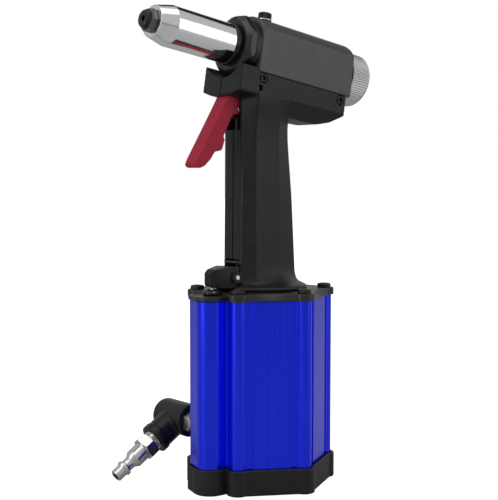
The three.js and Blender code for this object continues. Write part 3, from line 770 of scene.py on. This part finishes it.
def shell_cutters():
    """Everything that is cut from the moulded handle."""
    tall = 60                    # past the outside of the handle
    return [
        block("over_head", -70, 13.8, -tall, tall, -15.1, tall, HEAD),
        block("over_guard", 13, 60, -tall, tall, -13, tall, HEAD),
        rod("saddle", 20.5, 13.75, 60, ON_BARREL, 128),
        rod("tube_bore", TUBE_CLEARANCE, 110, 237),
        rod("boss_bore", 9.9, 230, 262),
        block("rod_slot", 8, ROD_X + 2, -2.8, 2.8, 121, 232),
        block("front_seam", 21.2, 30, -0.4, 0.4, 110, 226),
        block("guard_seam", 26.7, 30, -0.4, 0.4, -45, 0, HEAD),
        block("trigger_slot", 8, 30.2, -6.3, 6.3, 214, 239.5),
        block("pivot_slot", 8, 28.6, -6.3, 6.3, 239.4, 242.4),
        block("rocker_slot", 13.5, 45, -7.3, 7.3, 112, 133.9),
        block("stop_slot", 13.5, 45, -6.4, 6.4, 133.8, 137.2),
        rod("pivot_hole", 1.9, -16.2, 40, ON_TRIGGER_PIN, 32),
        rod("rocker_hole", 1.7, -9.9, 9.9, ON_ROCKER_PIN, 32),
        rod("stop_hole", 1.4, -8.6, 8.6, ON_STOP_PIN, 32),
        rod("front_hole", 1.8, -14, 40, ON_FRONT_SCREW, 32),
        rod("front_seat", 3.2, 15.2, 40, ON_FRONT_SCREW, 48),
        rod("rear_hole", 1.8, -14, 40, ON_REAR_SCREW, 32),
        rod("rear_seat", 3.2, 15.2, 40, ON_REAR_SCREW, 48),
    ]


def handle_shells():
    ears = rocker_ears()
    shell = moulded(grip(), [guard_block(), shelf_block()], 0.55, 12)
    joined(shell, *ears)
    cut(shell, *shell_cutters())
    seam = 0.15                  # each shell's edge, from the middle plane
    halves = [("left_shell", "handle_left", seam, 60), ("right_shell", "handle_right", -60, -seam)]
    for name, cad, low, high in halves:
        half = linked(name, shell.data.copy())
        within(half, block("half", -100, 100, low, high, 100, 300))
        finished(half, GRIP, "root", cad, sharp=42)
    bpy.data.objects.remove(shell)


def shell_screws():
    for end, place in (("front", ON_FRONT_SCREW), ("rear", ON_REAR_SCREW)):
        screw(f"{end}_screw", 2.8, 15.6, 18, 1.4, -13.5, 1.5, place, f"shell_screw_{end}")


def pins():
    """Ground pins with rounded ends: name, radius, ends along Y, place, body."""
    made = [
        ("trigger_pin", 1.4, -15.9, 14.9, ON_TRIGGER_PIN, "root"),
        ("trigger_link_pin", 1.5, -6, 6, ON_LINK_PIN, "trigger"),
        ("rocker_pin", 1.5, -9.6, 9.6, ON_ROCKER_PIN, "root"),
        ("rocker_stop_pin", 1.2, -8.3, 8.3, ON_STOP_PIN, "root"),
    ]
    for cad, radius, low, high, place, body in made:
        profile = [(0, low), (radius, low), (radius, high), (0, high)]
        pin = turned("ground_" + cad, profile, place, 0.35, 40)
        # The rocker stop pin gets the darker steel, a painted shade of the slot it crosses.
        finished(pin, SLOT_SHADE_STEEL if cad == "rocker_stop_pin" else STEEL, body, cad)


# Head
PULL_BORE = 12.7
GLAND_BORE = 11.4
HEAD_HALF = 17                   # half the width of the casting
HEAD_ARCH = 19.8                 # radius of its top
CAP_RADIUS = 16.6


def head_body():
    shoulder = math.degrees(math.acos(HEAD_HALF / HEAD_ARCH)) + 4
    arch = [(-HEAD_HALF, -14.8), (HEAD_HALF, -14.8), *arc((0, 0), HEAD_ARCH, shoulder, 180 - shoulder, 40)]
    low, high = -62, 13.5
    casting = bevelled(end_prism("head_casting", arch, low, high, HEAD), 1.1, 4, 50)
    cut(
        casting,
        rod("pull_bore", PULL_BORE, low - 1, -2, ON_BARREL),
        rod("gland_bore", GLAND_BORE, -3, high + 1, ON_BARREL),
        rod("plug_hole", 2.9, 15, 25, ON_OIL_PLUG, 48),
        rod("plug_seat", 4.9, 19.55, 25, ON_OIL_PLUG, 64),
    )
    return finished(casting, HEAD_COAT, "root", "head_body", sharp=40)


def knurling(radius_of_teeth, teeth, depth, low, high):
    """Radius rule for straight knurling between two heights."""
    def shape(radius, height, angle):
        if radius < radius_of_teeth - 0.01 or not low <= height <= high:
            return radius
        return radius - depth * abs(math.sin(teeth * angle / 2))
    return shape


def rear_cap():
    heights = [-76.4, -76.3, -74, -72, -70, -68, -66, -64, -62.5, -62.3]
    side = [(CAP_RADIUS, height) for height in heights]
    lip = [(5, -77.4), (5.6, -78), (14.4, -78), (15.3, -77.8), (16.1, -77.2), (16.45, -76.6)]
    inner = [(12.3, -62.3), (12.3, -54), (5, -54)]
    teeth = 72
    grip_rule = knurling(CAP_RADIUS, teeth, 0.32, -76.35, -62.45)
    cap = turned("knurled_cap", lip + side + inner, ON_BARREL, segments=teeth * 8, shape=grip_rule)
    return finished(cap, KNURLED, "root", "rear_cap", sharp=60)


def oil_plug():
    screw("filler_plug", 4.1, 21.1, 24.8, 2.5, 16.2, 1.95, ON_OIL_PLUG, "oil_plug", knurl=0.22)
    section = [(2.9, 20.1), (4.4, 20.1), (4.4, 20.8), (2.9, 20.8)]
    washer = turned("filler_washer", section, ON_OIL_PLUG, 0.15, 64)
    finished(washer, STEEL, "root", "oil_plug_washer")


def collar():
    ring = [(GLAND_BORE, 13.8), (17, 13.8), (17, 17.4), (16.4, 18.2), (GLAND_BORE, 18.2)]
    finished(turned("collar_band", ring, ON_BARREL, 0.25, 128), BLACK_STEEL, "root", "collar_ring")
    flats = end_prism("octagon_nut", polygon(8, 18.9, math.pi / 8), 18.5, 24.7, HEAD)
    chamfers = [(0, 18.5), (18.2, 18.5), (18.9, 19.6), (18.9, 21), (15.2, 24.7), (0, 24.7)]
    within(flats, turned("cone", chamfers, ON_BARREL, 0, 128))
    bevelled(flats, 0.3, 2, 22)
    cut(flats, rod("nut_bore", GLAND_BORE, 10, 30, ON_BARREL))
    finished(flats, COLLAR, "root", "collar_nut", sharp=28)
    step = [(GLAND_BORE, 25), (12.6, 25), (12.6, 27.7), (12.1, 28.2), (GLAND_BORE, 28.2)]
    finished(turned("nose_bush", step, ON_BARREL, 0.2, 96), BLACK_STEEL, "root", "head_bush")


def frame_head():
    profile = [
        (9.4, 4), (11, 4), (11, 28.5), (11.9, 28.5), (11.9, 70), (9.3, 80.6), (5, 80.6), (5, 70), (9.4, 70),
    ]
    barrel = turned("chrome_barrel", profile, ON_BARREL, 0.45, 160)
    for angle in (-38, -218):
        tilt = Matrix.Rotation(math.radians(angle), 4, "X")
        cut(barrel, rod("scoop", 14, -20, 20, HEAD @ tilt @ Matrix.Translation((76.5, 23.6, 0)), 128))
    return finished(barrel, CHROME, "root", "frame_head", sharp=24)


def nosepiece():
    tip = [
        (1.6, 64.3), (2.7, 64.3), (3.4, 72), (4.6, 73), (4.6, 80.9), (5.2, 80.9), (5.2, 86), (4.6, 86.9),
        (2.1, 86.9), (1.6, 86.4),
    ]
    nose = turned("nose_tip", tip, ON_BARREL, 0.15, 96)
    flats = end_prism("nose_hex", polygon(6, 7), 80.9, 84.5, HEAD)
    chamfers = [(0, 80.9), (6.7, 80.9), (7, 81.3), (7, 83.6), (6, 84.5), (0, 84.5)]
    within(flats, turned("nose_cone", chamfers, ON_BARREL))
    cut(flats, rod("nose_way", 2.5, 60, 90, ON_BARREL))
    joined(nose, bevelled(flats, 0.15, 2, 30))
    return finished(nose, BLACK_STEEL, "root", "nosepiece", sharp=30)


def mandrel_tube():
    section = [(2.6, -58), (3.8, -58), (3.8, -6), (2.6, -6)]
    tube = turned("spent_mandrel_tube", section, ON_BARREL, 0.2, 48)
    return finished(tube, STEEL, "pull_piston", "mandrel_tube")


# Trigger and rocker
def trigger():
    blade = [
        (15, 241), (26.5, 241), (28.2, 238.4), (29.2, 234.5), (30.9, 231.2), (38.5, 218.6), (46.2, 206),
        (51.6, 197.2), (53, 194.6), (53.4, 193.2), (52.6, 191.8), (50.5, 191.2), (47, 192.6), (43, 196.2),
        (39.6, 200.8), (34.5, 201.6), (32.2, 208.2), (33.4, 209.4), (32.5, 211.5), (26.4, 222.6),
        (21.4, 223.2), (18.6, 225.4), (12.6, 236.4),
    ]
    half = 5.7
    lever = bevelled(side_prism("trigger_blade", rounded(blade, 2.2), half), 1.2, 4, 50)
    lever = moulded(lever, [rod("trigger_boss", 3.2, -half, half, ON_TRIGGER_PIN)], 0.35, 8)
    cut(
        lever,
        block("rod_way", 10, 26.4, -2.5, 2.5, 215, 230.5),
        rod("pin_way", 1.7, -10, 10, ON_TRIGGER_PIN, 40),
        rod("link_way", 1.8, -10, 10, ON_LINK_PIN, 40),
    )
    return finished(lever, CRIMSON, "trigger", "trigger", sharp=40)


def valve_rocker():
    side = [
        (15.8, 124.4), (21.5, 122.4), (24, 120.8), (28, 120.2), (35, 120.4), (37, 121.4), (40.4, 121.6),
        (41.2, 123), (41.2, 129.6), (38.4, 131.6), (30, 133.2), (21.5, 132.6), (21.5, 128.5), (15.8, 128.5),
    ]
    half_plan = [(15, 2.3), (21.5, 2.3), (21.5, 6.9), (29, 6.9), (42, 3)]
    plan = [(x, -y) for x, y in half_plan] + [(x, y) for x, y in reversed(half_plan)]
    body = within(side_prism("rocker", side, 8), prism("rocker_plan", plan, 110, 140))
    bevelled(body, 0.55, 3, 18)
    cut(body, rod("rocker_bore", 1.7, -10, 10, ON_ROCKER_PIN, 40))
    return finished(body, ROCKER_PLASTIC, "valve_rocker", "valve_rocker", sharp=30)


def valve_parts():
    cap = [
        (1.9, 113.7), (4.1, 113.7), (4.1, 117.1), (5.5, 117.1), (5.5, 118.4), (4.4, 119.6), (2.4, 120.2),
        (1.9, 120.2),
    ]
    finished(turned("valve_plug", cap, ON_VALVE, 0.4, 64), BLACK_STEEL, "root", "valve_cap")
    stem = [(0, 86.8), (2.6, 86.8), (2.6, 90), (1.5, 90.4), (1.5, 120.3), (0.8, 121.1), (0, 121.1)]
    finished(turned("valve_pin", stem, ON_VALVE, 0.25, 48), STEEL, "valve_stem", "valve_stem")


# Air inlet
AIR_WAY = 3.2                    # radius of the way through the nipple and the elbow


def thread(radius, depth, pitch, low, high):
    """Radius rule for a screw thread that fades out at its ends."""
    def shape(r, height, angle):
        if abs(r - radius) > 0.01 or not low < height < high:
            return r
        phase = (height / pitch - angle / (2 * math.pi)) % 1
        fade = min(1, (height - low) / (0.4 * pitch), (high - height) / (0.4 * pitch))
        return r - depth * fade * (1 - abs(2 * phase - 1))
    return shape


def run(radius, low, high, step):
    """Points at one radius, close enough together for a thread."""
    count = round((high - low) / step)
    return [(radius, low + (high - low) * i / count) for i in range(count + 1)]


def hex_nut(name, radius, low, high, place, phase=0.0):
    """Hexagon with the chamfered corners of a spanner flat."""
    flats = prism(name, polygon(6, radius, phase), low, high, place)
    chamfers = [
        (0, low), (radius * 0.9, low), (radius, low + 0.7),
        (radius, high - 0.7), (radius * 0.9, high), (0, high),
    ]
    return bevelled(within(flats, turned("cone", chamfers, place, 0, 96)), 0.15, 2, 30)


def inlet_nipple():
    radius, low, high = 6.2, 3, -23.7 - INLET.y
    profile = [(0, low), *run(radius, low, high, 0.15), (0, high)]
    rule = thread(radius, 0.4, 0.9, low + 8, high - 0.2)
    nipple = turned("plated_nipple", profile, ON_INLET, segments=72, shape=rule)
    flats = hex_nut("nipple_hex", 8.4, -32.7 - INLET.y, -27.7 - INLET.y, ON_INLET, math.pi / 6)
    joined(nipple, flats)
    cut(nipple, rod("nipple_way", AIR_WAY, low - 5, high + 5, ON_INLET))
    return finished(nipple, PLATED, "root", "inlet_nipple", sharp=30)


def elbow_body():
    barrel_profile = [
        (0, -13.9), (8.4, -13.9), (9.8, -13.1), (10.3, -11.6), (10.3, 14.6), (9.5, 15.5), (0, 15.5),
    ]
    arm_profile = [(0, 0), (9.2, 0), (9.2, 16.8), (9.8, 17.6), (9.8, 21.4), (9.3, 22), (0, 22)]
    barrel = turned("elbow", barrel_profile, ON_INLET, 0.9, 96)
    arm = turned("arm", arm_profile, ON_PLUG, 0.3, 96)
    rib = block("rib", 8, 16.6, -9.6, 9.6, -0.35, 0.35, PLUG)
    body = moulded(barrel, [arm, rib], 0.4, 4)
    cut(
        body,
        rod("mouth", 6.9, 8, 40, ON_PLUG),
        rod("nipple_seat", 6.6, 2, 20, ON_INLET),
        rod("inner_way", AIR_WAY, -2, 3, ON_INLET),
        rod("arm_way", AIR_WAY, -1, 9, ON_PLUG),
    )
    return finished(body, FITTING, "swivel_elbow", "elbow_body", sharp=40)


def air_plug():
    radius, start, hex_start, hex_end = 6.5, 9, 25, 31.5
    profile = [
        (0, start), *run(radius, start, 24.6, 0.12), (5.9, hex_start), (5.9, 32), (5.9, 39.6), (5.7, 40),
        (4.2, 42.2), (3.9, 43), (3.9, 46.2), (4.1, 46.7), (4.9, 47.3), (5, 47.7), (5, 48.5), (4.8, 49),
        (4.1, 49.6), (3.95, 50), (3.95, 55), (3.5, 55.5), (0, 55.5),
    ]
    rule = thread(radius, 0.5, 0.95, start + 1, 24.5)
    plug = turned("quick_plug", profile, ON_PLUG, segments=96, shape=rule)
    joined(plug, hex_nut("plug_hex", 8.25, hex_start, hex_end, ON_PLUG))
    grooves = []
    for i in range(6):
        turn = Matrix.Rotation(math.radians(60 * i + 30), 4, "X")
        grooves.append(block("groove", hex_end + 1, 38.6, -0.8, 0.8, 5.1, 8, PLUG @ turn))
    cut(plug, rod("plug_way", 2.4, 0, 60, ON_PLUG), *grooves)
    return finished(plug, PLATED, "swivel_elbow", "air_plug", sharp=30)


# CAD pieces that keep their shape, by material
KEPT = {
    FLANGE_COAT: ["bottom_cap"],
    CHROME: ["ram"],
    BRASS: ["ram_gland", "front_gland", "valve_sleeve"],
    PISTON: ["air_piston"],
    SEAL: ["bottom_cap_seal", "flange_seal", "rod_seal", "air_piston_seal", "pull_piston_seal"],
    SLOT_SHADE_STEEL: ["trigger_rod"],
    STEEL: [
        "handle_tube", "ram_nut", "pull_piston", "jaw_case", "jaw_pusher", "jaw_1", "jaw_2", "jaw_3",
        "return_spring", "jaw_spring", "valve_spring",
    ],
}


def paint_kept_nodes():
    for material, names in KEPT.items():
        for name in names:
            mesh = frame["nodes"][name].data
            mesh.materials.clear()
            mesh.materials.append(material)


# Studio
def floor():
    """Pale floor just under the tool, whose emission only the camera sees."""
    ground = sheet("studio_floor", 12, 12, -0.0004)
    paint = surface("floor_paint", (0.5, 0.5, 0.5), 0.6)
    roughened(paint, noise(paint, 6, 3.0), 0.55, 0.65)
    shader_of(paint).inputs["Emission Color"].default_value = (0.95, 0.95, 0.95, 1)
    path = node(paint, "ShaderNodeLightPath")
    link(paint, path.outputs["Is Camera Ray"], shader_of(paint).inputs["Emission Strength"])
    ground.data.materials.append(paint)


def dark_card(name, place, target, width, height):
    """Black card that only reflections see."""
    card = sheet(name, width, height)
    card.data.materials.append(surface(name, (0.01, 0.01, 0.01), 0.9))
    card.location = place
    card.rotation_euler = (Vector(target) - Vector(place)).to_track_quat("Z", "Y").to_euler()
    card.visible_camera = False
    card.visible_shadow = False
    card.visible_diffuse = False


def softbox(name, place, target, width, height, power):
    """Rectangular lamp that faces a point."""
    data = bpy.data.lights.new(name, "AREA")
    data.shape = "RECTANGLE"
    data.size = width
    data.size_y = height
    data.energy = power
    lamp = bpy.data.objects.new(name, data)
    scene.collection.objects.link(lamp)
    lamp.location = place
    lamp.rotation_euler = (Vector(target) - Vector(place)).to_track_quat("-Z", "Y").to_euler()
    return lamp


def world():
    """Even pale surroundings, white where the camera sees them and dimmer as a light."""
    made = bpy.data.worlds.new("studio")
    made.use_nodes = True
    background = made.node_tree.nodes["Background"]
    background.inputs["Color"].default_value = (1, 1, 1, 1)
    path = made.node_tree.nodes.new("ShaderNodeLightPath")
    strength = made.node_tree.nodes.new("ShaderNodeMapRange")
    strength.inputs["To Min"].default_value = 0.55
    strength.inputs["To Max"].default_value = 1.0
    made.node_tree.links.new(path.outputs["Is Camera Ray"], strength.inputs["Value"])
    made.node_tree.links.new(strength.outputs["Result"], background.inputs["Strength"])
    scene.world = made


def camera():
    """The photograph's viewing angle, fitted to the tool's straight edges."""
    data = bpy.data.cameras.new("camera")
    data.lens = 79.96
    data.sensor_width = 36
    view = bpy.data.objects.new("camera", data)
    scene.collection.objects.link(view)
    view.location = (0.4342, 0.5197, 0.1884)
    aim = Vector((-0.6311, -0.7726, -0.0691))
    view.rotation_euler = aim.to_track_quat("-Z", "Y").to_euler()
    scene.camera = view


def studio():
    middle = (0, 0, 0.14)
    softbox("left_softbox", (0.95, -0.1, 0.4), middle, 0.4, 0.9, 2.4)
    softbox("right_softbox", (-0.55, 0.85, 0.4), middle, 0.5, 0.9, 1.4)
    softbox("top_softbox", (0.1, 0.2, 1.1), middle, 0.9, 0.9, 3)
    barrel = tuple(HEAD_ORIGIN * MM)
    dark_card("back_card", (-0.37, -0.29, 0.67), barrel, 1.2, 0.26)


camera()
base_boot()
air_cylinder()
top_flange()
tie_screws()
handle_shells()
shell_screws()
pins()
head_body()
rear_cap()
oil_plug()
collar()
frame_head()
nosepiece()
mandrel_tube()
trigger()
valve_rocker()
valve_parts()
inlet_nipple()
elbow_body()
air_plug()
paint_kept_nodes()
floor()
world()
studio()
scene.view_settings.view_transform = "Standard"
